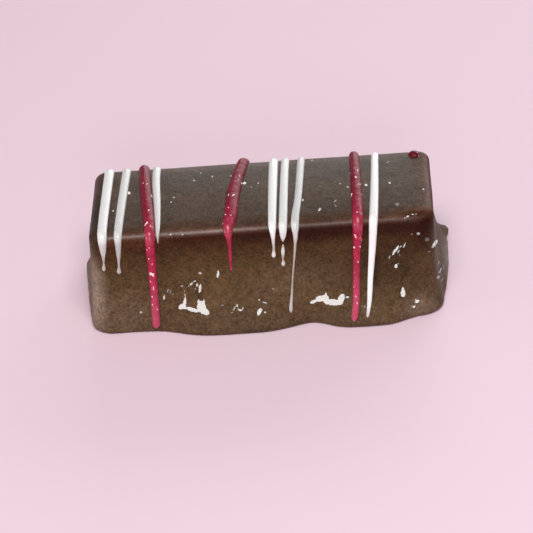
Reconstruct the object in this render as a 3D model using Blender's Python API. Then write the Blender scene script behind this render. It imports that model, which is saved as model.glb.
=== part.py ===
"""A finger-shaped chocolate bonbon with white and raspberry lines drizzled across it.

Metres, +Z up. +X runs along the finger, and the front is the long side that faces -Y. The origin lies under
the middle of the whole bonbon, on the plane that it rests on.
"""

import math
from typing import NamedTuple

import bmesh
import bpy
from mathutils import Vector

MM = 0.001

# The block of filling under its coat, without the foot that spreads round it
LENGTH = 42.1 * MM
WIDTH = 16.8 * MM
LEFT_HEIGHT = 13.6 * MM
RIGHT_HEIGHT = 13.9 * MM
CROWN = 0.22 * MM  # how far the middle of the top stands above its edges
CROWN_END_POWER = 6  # how late the crown falls off towards the two ends
SKEW = 0.65 * MM  # how far the back edge sits to the right of the front edge
FRONT_CORNER_RADIUS = 2.3 * MM
BACK_CORNER_RADIUS = 1.7 * MM

# The rounded edge round the top
EDGE_RADIUS = 0.9 * MM
SOFT_EDGE_RADIUS = 1.8 * MM  # the front edge at its right end
SOFT_EDGE_START = 12.0 * MM

# The foot: coating that ran down and set round the base
RIM_RADIUS = 0.55 * MM
FRONT_FOOT = 0.55 * MM
BACK_FOOT = 1.1 * MM
LEFT_FOOT = (0.25 * MM, 1.35 * MM, 2.1 * MM)  # at the front, the middle and the back of the left end
RIGHT_FOOT = (0.6 * MM, 1.7 * MM, 2.1 * MM)
CORNER_POINT = 1.9 * MM  # the drawn-out tip at the back right corner
CORNER_POINT_SHARPNESS = 5
CORNER_POINT_FLARE = 6.0
FRONT_FLARE = 2.4  # how late the wall turns outwards on its way down
END_FLARE = 4.0


class Pool(NamedTuple):
    """A stretch of the foot where more coating ran out."""

    centre: float
    spread: float
    reach: float


FRONT_POOLS = (Pool(-3.6 * MM, 7.5 * MM, 1.8 * MM), Pool(12.4 * MM, 5.2 * MM, 1.85 * MM))
BACK_POOLS = (Pool(-11.0 * MM, 4.5 * MM, 0.7 * MM), Pool(7.0 * MM, 6.0 * MM, 0.9 * MM))

HALF_LENGTH = LENGTH / 2
HALF_WIDTH = WIDTH / 2

# How finely the body is cut into faces
FRONT_STEPS = 30
END_STEPS = 8
CORNER_STEPS = 4
EDGE_STEPS = 4
WALL_STEPS = 7
RIM_STEPS = 4

# The drizzled lines
LINE_GAP = 0.1 * MM  # between a line's underside and the chocolate that it lies on
WHITE_RELIEF = 0.30  # height over width
RASPBERRY_RELIEF = 0.52
DOME_STEPS = 2  # from the middle of a line's domed top to its side
LONG_STEP = 2.1 * MM
CLOSE_STEP = 0.5 * MM  # where a line bends over one of the two top edges
BEND_SPAN = 1.0 * MM
PROBE = 0.05 * MM  # the distance over which a slope is read

CHOCOLATE = ("chocolate", (0.075, 0.035, 0.020), 0.38)
WHITE = ("white_chocolate", (0.85, 0.85, 0.80), 0.40)
RASPBERRY = ("raspberry", (0.38, 0.025, 0.075), 0.30)


class Knot(NamedTuple):
    """A point of a line: its distance over the edge, its place along the finger and its width.

    over is 0 at the top front edge. It grows down the front and falls over the top towards the back.
    """

    over: float
    along: float
    width: float


def knots(*rows):
    """The rows' millimetres as knots in metres."""
    return tuple(Knot(*(value * MM for value in row)) for row in rows)


WHITE_LINES = {
    "white_line_1": knots(
        (-20.4, -19.0, 0.40), (-18.2, -19.05, 1.00), (-15.0, -19.1, 1.25), (-2.0, -19.25, 1.20),
        (0.0, -19.2, 1.10), (1.5, -19.2, 0.82), (3.4, -19.25, 0.24), (4.3, -19.3, 0.45), (4.6, -19.3, 0.20),
    ),
    "white_line_2": knots(
        (-22.0, -16.8, 0.36), (-18.6, -16.85, 0.90), (-14.4, -16.95, 1.12), (-1.3, -17.3, 1.03),
        (1.8, -17.35, 0.65), (4.0, -17.45, 0.28), (4.8, -17.5, 0.52), (5.1, -17.5, 0.20),
    ),
    "white_line_3": knots(
        (-19.6, -13.0, 0.36), (-17.4, -13.1, 0.90), (-14.3, -13.15, 1.05), (-5.8, -12.7, 0.84),
        (-0.7, -12.5, 0.46), (1.1, -12.5, 0.16),
    ),
    "white_line_4": knots(
        (-20.8, 1.6, 0.36), (-18.0, 1.5, 1.05), (-14.0, 1.45, 1.18), (-1.0, 1.35, 1.00),
        (2.0, 1.4, 0.40), (2.9, 1.4, 0.28), (3.9, 1.35, 0.50), (4.2, 1.35, 0.20),
    ),
    "white_line_5": knots(
        (-19.4, 3.1, 0.36), (-17.4, 3.0, 0.90), (-14.0, 2.9, 1.03), (-0.8, 2.65, 1.05),
        (1.2, 2.6, 0.75), (2.1, 2.55, 0.16),
    ),
    "white_drip": knots(
        (2.4, 2.55, 0.14), (3.4, 2.5, 0.47), (4.5, 2.45, 0.21), (5.1, 2.45, 0.46), (5.5, 2.4, 0.16),
    ),
    "white_line_6": knots(
        (-22.4, 5.1, 0.30), (-18.4, 5.0, 0.80), (-14.0, 4.85, 0.97), (-6.0, 4.5, 0.92),
        (-0.6, 4.1, 1.02), (1.3, 4.1, 0.60), (2.7, 4.0, 0.32), (7.2, 3.5, 0.20), (9.4, 3.3, 0.30),
        (11.3, 3.1, 0.44), (11.7, 3.1, 0.20),
    ),
    "white_line_7": knots(
        (-23.0, 14.3, 0.40), (-18.0, 14.2, 0.90), (-14.0, 14.1, 0.95), (-0.9, 13.6, 1.09),
        (3.9, 13.3, 0.87), (7.7, 12.95, 0.70), (11.1, 12.65, 0.52), (12.5, 12.4, 0.34),
    ),
}
RASPBERRY_LINES = {
    "raspberry_line_1": knots(
        (-26.0, -15.0, 0.60), (-19.0, -14.9, 1.20), (-15.0, -14.65, 1.40), (-7.8, -14.1, 1.47),
        (-0.8, -13.5, 1.33), (4.3, -13.45, 1.12), (8.6, -13.45, 1.00), (12.9, -13.5, 1.06),
    ),
    "raspberry_line_2": knots(
        (-21.6, -1.7, 0.60), (-17.6, -2.1, 1.35), (-12.0, -2.95, 1.55), (-7.1, -3.5, 1.71),
        (-3.4, -3.7, 1.68), (-0.2, -4.0, 1.20), (2.1, -3.9, 0.48), (3.8, -3.9, 0.36), (5.5, -3.9, 0.24),
    ),
    "raspberry_line_3": knots(
        (-24.4, 11.4, 0.60), (-18.0, 11.5, 1.20), (-10.0, 11.65, 1.36), (-1.1, 11.7, 1.39),
        (2.0, 11.6, 1.21), (3.8, 11.45, 0.93), (7.6, 11.25, 0.90), (11.0, 11.05, 0.86), (12.8, 10.75, 0.82),
    ),
    "raspberry_dot": knots(
        (-16.1, 19.05, 0.60), (-15.4, 19.05, 1.40), (-14.7, 19.05, 0.60),
    ),
}


class Side(NamedTuple):
    """What the coat does at one place of the outline."""

    edge: float
    top: float
    foot: float
    flare: float


def clamp(value, low, high):
    return max(low, min(high, value))


def mix(first, second, share):
    return first + (second - first) * share


def ease(share):
    """0 to 1 with level ends."""
    share = clamp(share, 0.0, 1.0)
    return share * share * (3 - 2 * share)


def pooled(least, pools, along):
    """The foot's reach at this place along the finger."""
    return least + sum(p.reach * math.exp(-(((along - p.centre) / p.spread) ** 4)) for p in pools)


def steady_curve(points, at):
    """The smooth curve through (place, value) points, read at one place. It never overshoots a point."""
    if at <= points[0][0]:
        return points[0][1]
    if at >= points[-1][0]:
        return points[-1][1]
    steps = [(b[0] - a[0], (b[1] - a[1]) / (b[0] - a[0])) for a, b in zip(points, points[1:])]
    slopes = [steps[0][1]]
    for (before, rise), (after, next_rise) in zip(steps, steps[1:]):
        mean = (rise * after + next_rise * before) / (before + after)
        least = min(abs(rise), abs(next_rise), abs(mean) / 2)
        slopes.append((math.copysign(1, rise) + math.copysign(1, next_rise)) * least)
    slopes.append(steps[-1][1])
    i = next(n for n, b in enumerate(points[1:]) if at <= b[0])
    width, _ = steps[i]
    t = (at - points[i][0]) / width
    return (
        points[i][1] * (1 + 2 * t) * (1 - t) ** 2
        + slopes[i] * width * t * (1 - t) ** 2
        + points[i + 1][1] * t * t * (3 - 2 * t)
        + slopes[i + 1] * width * t * t * (t - 1)
    )


def top_height(along):
    return mix(LEFT_HEIGHT, RIGHT_HEIGHT, along / LENGTH + 0.5)


def front_side(along):
    soft = ease((along - SOFT_EDGE_START) / (HALF_LENGTH - SOFT_EDGE_START))
    edge = mix(EDGE_RADIUS, SOFT_EDGE_RADIUS, soft)
    return Side(edge, top_height(along), pooled(FRONT_FOOT, FRONT_POOLS, along), FRONT_FLARE)


def back_side(along):
    return Side(EDGE_RADIUS, top_height(along), pooled(BACK_FOOT, BACK_POOLS, along), FRONT_FLARE)


def end_side(along, across):
    foot = zip((-HALF_WIDTH, 0.0, HALF_WIDTH), RIGHT_FOOT if along > 0 else LEFT_FOOT)
    return Side(EDGE_RADIUS, top_height(along), steady_curve(list(foot), across), END_FLARE)


def coat(side, v):
    """(outward, up) of the coat's section.

    v runs from 0 to 1 round the top edge, on to 2 down the wall and on to 3 round the rim.
    """
    if v <= 1:
        turn = v * math.pi / 2
        return side.edge * (math.sin(turn) - 1), side.top - side.edge * (1 - math.cos(turn))
    lean = rim_lean(side)
    if v <= 2:
        down = v - 1
        reach = side.foot - RIM_RADIUS * (1 - math.cos(lean))
        return reach * down**side.flare, mix(side.top - side.edge, rim_start(side), down)
    turn = mix(lean, -math.pi / 2, v - 2)
    return side.foot - RIM_RADIUS * (1 - math.cos(turn)), RIM_RADIUS * (1 + math.sin(turn))


def rim_lean(side):
    """The angle above level that the wall's face points at where it meets the rim."""
    return math.atan(side.flare * side.foot / side.top)


def rim_start(side):
    """The height where the wall meets the rim."""
    return RIM_RADIUS * (1 + math.sin(rim_lean(side)))


def section_place(side, over):
    """v of coat() at a distance over the top edge."""
    if over <= side.edge:
        return (over / side.edge + 1) / 2
    wall = side.top - rim_start(side)
    if over <= wall:
        return 1 + (over - side.edge) / (wall - side.edge)
    rim_length = RIM_RADIUS * (rim_lean(side) + math.pi / 2)
    return min(3.0, 2 + (over - wall) / rim_length)


def crown(along, across):
    """How far the slightly domed top stands above its edge."""
    u = clamp(abs(across) / (HALF_WIDTH - EDGE_RADIUS), 0.0, 1.0)
    w = clamp(abs(along) / (HALF_LENGTH - EDGE_RADIUS), 0.0, 1.0)
    return CROWN * (1 - u * u) * (1 - w**CROWN_END_POWER)


def skewed(along, across, up):
    return Vector((along + SKEW * across / WIDTH, across, up))


def belt(along, over):
    """The point of the coat at a distance over the front edge, down the front or over the top and back."""
    if -WIDTH / 2 <= over:
        side, facing = front_side(along), -1
    else:
        side, facing, over = back_side(along), 1, -WIDTH - over
    if over < -side.edge:
        across = facing * (HALF_WIDTH + over)
        return skewed(along, across, side.top + crown(along, across))
    out, up = coat(side, section_place(side, over))
    return skewed(along, facing * (HALF_WIDTH + out), up)


def belt_normal(along, over):
    run = belt(along + PROBE, over) - belt(along - PROBE, over)
    fall = belt(along, over + PROBE) - belt(along, over - PROBE)
    return fall.cross(run).normalized()


def outline():
    """Stations round the block, anticlockwise from above and from the middle of the front left corner."""
    corners = (
        (1, -1, FRONT_CORNER_RADIUS), (1, 1, BACK_CORNER_RADIUS),
        (-1, 1, BACK_CORNER_RADIUS), (-1, -1, FRONT_CORNER_RADIUS),
    )
    sides = (
        (Vector((0, -1)), FRONT_STEPS, lambda p: front_side(p.x)),
        (Vector((1, 0)), END_STEPS, lambda p: end_side(p.x, p.y)),
        (Vector((0, 1)), FRONT_STEPS, lambda p: back_side(p.x)),
        (Vector((-1, 0)), END_STEPS, lambda p: end_side(p.x, p.y)),
    )
    stations = []
    for i, (facing, steps, side_at) in enumerate(sides):
        start = corner_end(corners[i - 1], facing)
        end = corner_end(corners[i], facing)
        stations += [(p, facing, side_at(p)) for p in (start.lerp(end, n / steps) for n in range(steps + 1))]
        next_facing, _, next_side_at = sides[(i + 1) % 4]
        stations += corner_stations(corners[i], facing, next_facing, side_at, next_side_at)
    half_corner = CORNER_STEPS // 2
    return stations[-half_corner:] + stations[:-half_corner]


def corner_end(corner, facing):
    """Where the straight side that faces this way meets the corner's arc."""
    sign_x, sign_y, radius = corner
    centre = Vector((sign_x * (HALF_LENGTH - radius), sign_y * (HALF_WIDTH - radius)))
    return centre + facing * radius


def corner_stations(corner, facing, next_facing, side_at, next_side_at):
    """The stations strictly inside one corner's arc, where one side's coat turns into the next one's."""
    before = side_at(corner_end(corner, facing))
    after = next_side_at(corner_end(corner, next_facing))
    sign_x, sign_y, radius = corner
    centre = Vector((sign_x * (HALF_LENGTH - radius), sign_y * (HALF_WIDTH - radius)))
    found = []
    for n in range(1, CORNER_STEPS):
        turn = math.pi / 2 * n / CORNER_STEPS
        normal = facing * math.cos(turn) + next_facing * math.sin(turn)
        side = Side(*(mix(a, b, ease(n / CORNER_STEPS)) for a, b in zip(before, after)))
        if (sign_x, sign_y) == (1, 1):
            side = drawn_out(side, turn)
        found.append((centre + normal * radius, normal, side))
    return found


def drawn_out(side, turn):
    """The coat at this turn round the corner whose foot ran out into a low tip."""
    share = math.sin(2 * turn) ** CORNER_POINT_SHARPNESS
    flare = mix(side.flare, CORNER_POINT_FLARE, share)
    return side._replace(foot=side.foot + CORNER_POINT * share, flare=flare)


def coat_rows():
    """v of coat() for each ring of the body, from the top edge to the flat base."""
    return (
        [n / EDGE_STEPS for n in range(EDGE_STEPS)]
        + [1 + n / WALL_STEPS for n in range(WALL_STEPS)]
        + [2 + n / RIM_STEPS for n in range(RIM_STEPS + 1)]
    )


def ring(stations, v):
    points = []
    for point, normal, side in stations:
        out, up = coat(side, v)
        place = point + normal * out
        points.append(skewed(place.x, place.y, up))
    return points


def top_grid(rim):
    """The top as rows of points from front to back: a patch stretched between the rim's four sides."""
    along, across = FRONT_STEPS + CORNER_STEPS, END_STEPS + CORNER_STEPS
    front = rim[: along + 1]
    right = rim[along : along + across + 1]
    back = rim[along + across : 2 * along + across + 1][::-1]
    left = (rim[2 * along + across :] + rim[:1])[::-1]
    rows = [front]
    for j in range(1, across):
        t = j / across
        row = [left[j]]
        for i in range(1, along):
            s = i / along
            point = front[i].lerp(back[i], t) + left[j].lerp(right[j], s)
            point -= front[0].lerp(front[-1], s).lerp(back[0].lerp(back[-1], s), t)
            place = point.x - SKEW * point.y / WIDTH
            row.append(skewed(place, point.y, top_height(place) + crown(place, point.y)))
        rows.append([*row, right[j]])
    return [*rows, back]


def add_strip(mesh, upper, lower):
    """Quads between two closed rings, upper outside up and running anticlockwise from above."""
    for i in range(len(upper)):
        mesh.faces.new((upper[i - 1], lower[i - 1], lower[i], upper[i]))


def finish(name, mesh, material, parent):
    """The bmesh as a smooth-shaded object."""
    bmesh.ops.recalc_face_normals(mesh, faces=mesh.faces)
    data = bpy.data.meshes.new(name)
    mesh.to_mesh(data)
    mesh.free()
    data.shade_smooth()
    data.materials.append(material)
    made = bpy.data.objects.new(name, data)
    made.parent = parent
    bpy.context.scene.collection.objects.link(made)
    return made


def make_material(name, colour, roughness):
    material = bpy.data.materials.new(name)
    material.use_nodes = True
    shader = material.node_tree.nodes["Principled BSDF"]
    shader.inputs["Base Color"].default_value = (*colour, 1)
    shader.inputs["Roughness"].default_value = roughness
    material.diffuse_color = (*colour, 1)
    return material


def make_body(material, parent):
    mesh = bmesh.new()
    stations = outline()
    rings = [[mesh.verts.new(p) for p in ring(stations, v)] for v in coat_rows()]
    for upper, lower in zip(rings, rings[1:]):
        add_strip(mesh, upper, lower)
    mesh.faces.new(reversed(rings[-1]))
    grid = top_grid([v.co.copy() for v in rings[0]])
    add_top(mesh, rings[0], grid)
    return finish("chocolate_body", mesh, material, parent)


def add_top(mesh, rim, grid):
    """Fills the rim with the grid's faces. The grid's outer points are the rim's own vertices."""
    rim_at = {tuple(v.co): v for v in rim}
    rows = [[rim_at.get(tuple(p)) or mesh.verts.new(p) for p in row] for row in grid]
    for front, back in zip(rows, rows[1:]):
        for i in range(len(front) - 1):
            mesh.faces.new((front[i], front[i + 1], back[i + 1], back[i]))


def line_stops(line):
    """Distances over the edge where a line is cut into faces: close together where it bends."""
    first, last = line[0].over, line[-1].over
    count = max(2, round((last - first) / LONG_STEP))
    stops = {mix(first, last, n / count) for n in range(1, count)} | {k.over for k in line[1:-1]}
    cuts = round(BEND_SPAN / CLOSE_STEP)
    for edge in (0.0, -WIDTH):
        bend = {edge + n * CLOSE_STEP for n in range(-cuts, cuts + 1)}
        stops = {s for s in stops if abs(s - edge) > BEND_SPAN + CLOSE_STEP / 2} | bend
    kept = [first]
    for stop in sorted(stops):
        if stop - kept[-1] > CLOSE_STEP / 2 and last - stop > CLOSE_STEP / 2:
            kept.append(stop)
    return [*kept, last]


def line_ring(line, over, relief):
    """One D-shaped section of a line: its domed top from left to right, then its underside back again."""
    middle = steady_curve([(k.over, k.along) for k in line], over)
    width = steady_curve([(k.over, k.width) for k in line], over)
    top, under = [], []
    for n in range(-DOME_STEPS, DOME_STEPS + 1):
        turn = math.pi / 2 * n / DOME_STEPS
        along = middle + math.sin(turn) * width / 2
        base, normal = belt(along, over), belt_normal(along, over)
        top.append(base + normal * (LINE_GAP + relief * width * math.cos(turn)))
        if abs(n) < DOME_STEPS:
            under.append(base + normal * LINE_GAP)
    return top + under[::-1]


def make_line(name, line, relief, material, parent):
    mesh = bmesh.new()
    rings = [[mesh.verts.new(p) for p in line_ring(line, over, relief)] for over in line_stops(line)]
    for upper, lower in zip(rings, rings[1:]):
        add_strip(mesh, upper, lower)
    mesh.faces.new(rings[0])
    mesh.faces.new(reversed(rings[-1]))
    return finish(name, mesh, material, parent)


def centre_on_origin(parent, pieces):
    """Moves the whole bonbon so that the origin is under the middle of its box."""
    points = [v.co for piece in pieces for v in piece.data.vertices]
    for axis in (0, 1):
        places = [p[axis] for p in points]
        parent.location[axis] = -(min(places) + max(places)) / 2


def main():
    for old in list(bpy.data.objects):
        bpy.data.objects.remove(old)
    bonbon = bpy.data.objects.new("bonbon", None)
    bpy.context.scene.collection.objects.link(bonbon)
    pieces = [make_body(make_material(*CHOCOLATE), bonbon)]
    for lines, finish_of, relief in (
        (WHITE_LINES, WHITE, WHITE_RELIEF),
        (RASPBERRY_LINES, RASPBERRY, RASPBERRY_RELIEF),
    ):
        material = make_material(*finish_of)
        pieces += [make_line(name, line, relief, material, bonbon) for name, line in lines.items()]
    centre_on_origin(bonbon, pieces)


main()
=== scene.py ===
"""The looks of a finger-shaped chocolate bonbon with white and raspberry lines drizzled across it.

Metres, +Z up. +X runs along the finger, and the front is the long side that faces -Y.
"""

import math
from typing import NamedTuple

import bmesh
import bpy
import numpy as np
from mathutils import Matrix, Vector, noise
from mathutils.bvhtree import BVHTree


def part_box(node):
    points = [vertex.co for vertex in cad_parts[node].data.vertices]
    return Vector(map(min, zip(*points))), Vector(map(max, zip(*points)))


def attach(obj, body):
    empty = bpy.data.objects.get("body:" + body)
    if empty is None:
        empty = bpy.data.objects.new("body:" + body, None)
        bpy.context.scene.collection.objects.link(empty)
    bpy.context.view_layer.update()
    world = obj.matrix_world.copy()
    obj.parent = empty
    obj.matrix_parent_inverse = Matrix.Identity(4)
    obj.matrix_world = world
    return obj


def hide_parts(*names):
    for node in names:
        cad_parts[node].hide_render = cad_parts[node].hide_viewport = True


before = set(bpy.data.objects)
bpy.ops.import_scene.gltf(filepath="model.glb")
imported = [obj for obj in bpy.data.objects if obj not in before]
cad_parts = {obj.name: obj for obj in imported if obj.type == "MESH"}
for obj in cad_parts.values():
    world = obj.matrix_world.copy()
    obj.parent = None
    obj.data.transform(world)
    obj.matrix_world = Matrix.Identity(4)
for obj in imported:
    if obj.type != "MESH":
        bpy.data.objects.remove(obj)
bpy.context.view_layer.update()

MM = 0.001

# The block under its finished coat: only the start of its soft edge lies further right than in the solid
LENGTH = 42.1 * MM
WIDTH = 16.8 * MM
HALF_LENGTH = LENGTH / 2
HALF_WIDTH = WIDTH / 2
LEFT_HEIGHT = 13.6 * MM
RIGHT_HEIGHT = 13.9 * MM
CROWN = 0.22 * MM
CROWN_END_POWER = 6
SKEW = 0.65 * MM
FRONT_CORNER_RADIUS = 2.3 * MM
BACK_CORNER_RADIUS = 1.7 * MM
EDGE_RADIUS = 0.9 * MM
SOFT_EDGE_RADIUS = 1.8 * MM
SOFT_EDGE_START = 14.5 * MM
RIM_RADIUS = 0.55 * MM
FRONT_FOOT = 0.55 * MM
BACK_FOOT = 1.1 * MM
LEFT_FOOT = (0.25 * MM, 1.35 * MM, 2.1 * MM)
RIGHT_FOOT = (0.6 * MM, 1.7 * MM, 2.1 * MM)
CORNER_POINT = 1.9 * MM
CORNER_POINT_SHARPNESS = 5
CORNER_POINT_FLARE = 6.0
FRONT_FLARE = 2.4
END_FLARE = 4.0


class Pool(NamedTuple):
    """A stretch of the foot where more coating ran out."""

    centre: float
    spread: float
    reach: float


FRONT_POOLS = (Pool(-3.6 * MM, 7.5 * MM, 1.8 * MM), Pool(12.4 * MM, 5.2 * MM, 1.85 * MM))
BACK_POOLS = (Pool(-11.0 * MM, 4.5 * MM, 0.7 * MM), Pool(7.0 * MM, 6.0 * MM, 0.9 * MM))

# The finished coat's top edge is a little rounder than the block's, and stands a little further in
EXTRA_RADIUS = 0.15 * MM
SIDE_INSET = 0.24 * MM
END_INSET = 0.1 * MM
SHOULDER = 1.8 * MM  # how far inside the edge the top starts to fall
SHOULDER_DROP = 0.06 * MM
WALL_INSET_POWER = 2.4  # how soon the wall comes out again below the edge

# How finely the coat is cut into faces
CELL = 0.215 * MM
CORNER_STEPS = 14
EDGE_STEPS = 16
RIM_STEPS = 8

# The photograph's view of the block
VIEW_ELEVATION = math.radians(32.5)
VIEW_ROLL = math.radians(3.5)
VIEW_DISTANCE = 335 * MM
PHOTO_SIDE = 533
PIXELS_PER_METRE = 8.3 / MM  # at the top front edge
EDGE_MIDDLE = (0.0, -7.9 * MM, 13.5 * MM)  # a point of the block, and the pixel where it shows
EDGE_MIDDLE_PIXEL = (263.5, 227.5)
SENSOR = 36.0
VIEW_BACK = Vector((0, -math.cos(VIEW_ELEVATION), math.sin(VIEW_ELEVATION)))


class Lamp(NamedTuple):
    """A soft lamp that points at the finger, by its place in metres, its sides and its power in watts."""

    place: tuple
    sides: tuple
    power: float


ROOM_COLOUR = (1.0, 0.94, 0.96)
ROOM_STRENGTH = 0.20
FLOOR_COLOUR = (0.91, 0.69, 0.78)
FLOOR_ROUGHNESS = 0.6
FLOOR_REACH = 3.0  # metres from its middle to its edge
KEY_LAMP = Lamp((0.0, -0.30, 0.52), (0.36, 0.20), 2.4)
FRONT_LAMP = Lamp((0.0, -0.465, 0.183), (0.18, 0.10), 0.55)
BACK_LAMP = Lamp((0.21, 0.53, 0.18), (0.60, 0.30), 1.55)
LEFT_LAMP = Lamp((-0.5, -0.15, 0.06), (0.25, 0.12), 0.5)


def facet(lamp):
    """The way that a smooth face points when the photograph's view sees this lamp in it."""
    return tuple((VIEW_BACK + Vector(lamp.place).normalized()).normalized())


def view_axes():
    """The photograph's right, up and back: it looks down on the front from level, and is rolled a little."""
    level = Vector((1, 0, 0))
    rise = VIEW_BACK.cross(level)
    right = math.cos(VIEW_ROLL) * level - math.sin(VIEW_ROLL) * rise
    up = math.sin(VIEW_ROLL) * level + math.cos(VIEW_ROLL) * rise
    return right, up, VIEW_BACK


def view_place():
    """Where the photograph was taken from, in block coordinates."""
    right, up, back = view_axes()
    aside = (EDGE_MIDDLE_PIXEL[0] - PHOTO_SIDE / 2) / PIXELS_PER_METRE
    below = (EDGE_MIDDLE_PIXEL[1] - PHOTO_SIDE / 2) / PIXELS_PER_METRE
    return Vector(EDGE_MIDDLE) + back * VIEW_DISTANCE - right * aside + up * below


def in_photo(points):
    """Where the photograph shows points of the block: pixels from its left and from its top."""
    right, up, back = (np.array(axis) for axis in view_axes())
    away = points - np.array(view_place())
    scale = PIXELS_PER_METRE * VIEW_DISTANCE / (away @ -back)
    return np.stack([PHOTO_SIDE / 2 + away @ right * scale, PHOTO_SIDE / 2 - away @ up * scale], -1)


class Knot(NamedTuple):
    """A point of a line: its distance over the edge, its place along the finger and its width.

    over is 0 at the top front edge. It grows down the front and falls over the top towards the back.
    """

    over: float
    along: float
    width: float


def knots(*rows):
    """The rows' millimetres as knots in metres."""
    return tuple(Knot(*(value * MM for value in row)) for row in rows)


WHITE_LINES = {
    "white_line_1": knots(
        (-20.4, -19.0, 0.40), (-18.2, -19.05, 1.00), (-15.0, -19.1, 1.25), (-2.0, -19.25, 1.20),
        (0.0, -19.2, 1.10), (1.5, -19.2, 0.82), (3.4, -19.25, 0.24), (4.3, -19.3, 0.45), (4.6, -19.3, 0.20),
    ),
    "white_line_2": knots(
        (-22.0, -16.8, 0.36), (-18.6, -16.85, 0.90), (-14.4, -16.95, 1.12), (-1.3, -17.3, 1.03),
        (1.8, -17.35, 0.65), (4.0, -17.45, 0.28), (4.8, -17.5, 0.52), (5.1, -17.5, 0.20),
    ),
    "white_line_3": knots(
        (-19.6, -13.0, 0.36), (-17.4, -13.1, 0.90), (-14.3, -13.15, 1.05), (-5.8, -12.7, 0.84),
        (-0.7, -12.5, 0.46), (1.1, -12.5, 0.16),
    ),
    "white_line_4": knots(
        (-20.8, 1.6, 0.36), (-18.0, 1.5, 1.05), (-14.0, 1.45, 1.18), (-1.0, 1.35, 1.00),
        (2.0, 1.4, 0.40), (2.9, 1.4, 0.28), (3.9, 1.35, 0.50), (4.2, 1.35, 0.20),
    ),
    "white_line_5": knots(
        (-19.4, 3.1, 0.36), (-17.4, 3.0, 0.90), (-14.0, 2.9, 1.03), (-0.8, 2.65, 1.05),
        (1.2, 2.6, 0.75), (2.1, 2.55, 0.16),
    ),
    "white_drip": knots(
        (2.4, 2.55, 0.14), (3.4, 2.5, 0.47), (4.5, 2.45, 0.21), (5.1, 2.45, 0.46), (5.5, 2.4, 0.16),
    ),
    "white_line_6": knots(
        (-22.4, 5.1, 0.30), (-18.4, 5.0, 0.80), (-14.0, 4.85, 0.97), (-6.0, 4.5, 0.92),
        (-0.6, 4.1, 1.02), (1.3, 4.1, 0.60), (2.7, 4.0, 0.32), (7.2, 3.5, 0.20), (9.4, 3.3, 0.30),
        (11.3, 3.1, 0.44), (11.7, 3.1, 0.20),
    ),
    "white_line_7": knots(
        (-23.0, 14.3, 0.40), (-18.0, 14.2, 0.90), (-14.0, 14.1, 0.95), (-0.9, 13.6, 1.09),
        (3.9, 13.3, 0.87), (7.7, 12.95, 0.70), (11.1, 12.65, 0.52), (12.5, 12.4, 0.34),
    ),
}
RASPBERRY_LINES = {
    "raspberry_line_1": knots(
        (-26.0, -15.0, 0.60), (-19.0, -14.9, 1.20), (-15.0, -14.65, 1.40), (-7.8, -14.1, 1.47),
        (-0.8, -13.5, 1.33), (4.3, -13.45, 1.12), (8.6, -13.45, 1.00), (12.9, -13.5, 1.06),
    ),
    "raspberry_line_2": knots(
        (-21.6, -1.7, 0.60), (-17.6, -2.1, 1.35), (-12.0, -2.95, 1.55), (-7.1, -3.5, 1.71),
        (-3.4, -3.7, 1.68), (-0.2, -4.0, 1.20), (2.1, -3.9, 0.48), (3.8, -3.9, 0.36), (5.5, -3.9, 0.24),
    ),
    "raspberry_line_3": knots(
        (-24.4, 11.4, 0.60), (-18.0, 11.5, 1.20), (-10.0, 11.65, 1.36), (-1.1, 11.7, 1.39),
        (2.0, 11.6, 1.21), (3.8, 11.45, 0.93), (7.6, 11.25, 0.90), (11.0, 11.05, 0.86), (12.8, 10.75, 0.82),
    ),
}
RASPBERRY_DOT = {
    "raspberry_dot": knots(
        (-15.8, 19.05, 0.90), (-15.05, 19.05, 1.50), (-14.3, 19.05, 0.90),
    ),
}
# Each line's section. The relief is its height over its width
WHITE_SHAPE = {"Relief": 0.34, "Lump Height": 0.02 * MM, "Lump Size": 0.8 * MM}
RASPBERRY_SHAPE = {"Relief": 0.52, "Lump Height": 0.06 * MM, "Lump Size": 0.9 * MM}
DOT_SHAPE = {"Relief": 0.35, "Lump Height": 0.02 * MM, "Lump Size": 0.6 * MM}
UNDERSIDE = 0.05  # how far a line's underside bulges, in shares of its width
LINE_SINK = 0.1  # how deep a line lies in the coat, in shares of its height
LINE_STEP = 0.1 * MM
LEAST_STEPS = 8
LINE_SIDES = 24
SMOOTHING = 9  # how many points of a line's path are averaged
TIP_START = 0.1  # a line's tip is cut off at this share of its rounding
PROBE = 0.05 * MM  # the step over which the coat's slope is read
DROP_HEIGHT = 1 * MM  # a line's points are dropped on to the coat from this far above it

COAT_SHAPE = {
    "Wave Height": 0.04 * MM,
    "Wave Size": 7.0 * MM,
    "Ripple Height": 0.12 * MM,
    "Ripple Size": 1.8 * MM,
    "Flat Below": 0.5 * MM,
}
RIPPLE_HEIGHTS = (1.0 * MM, 7.0 * MM)  # the ripples are full below the first and least above the second
LEAST_RIPPLE = 0.15


class Mark(NamedTuple):
    """A small place on the coat where it set smooth, as an ellipse in the photograph.

    Its middle and its two half sizes are in the photograph's pixels, across and down. It is then turned
    clockwise, in degrees. Where it widens, its lower end is wider than its upper one.
    """

    across: float
    down: float
    half_across: float
    half_down: float
    turn: float = 0
    strength: float = 1
    widening: float = 0


def mark_rows(*rows):
    return tuple(Mark(*row) for row in rows)


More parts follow.
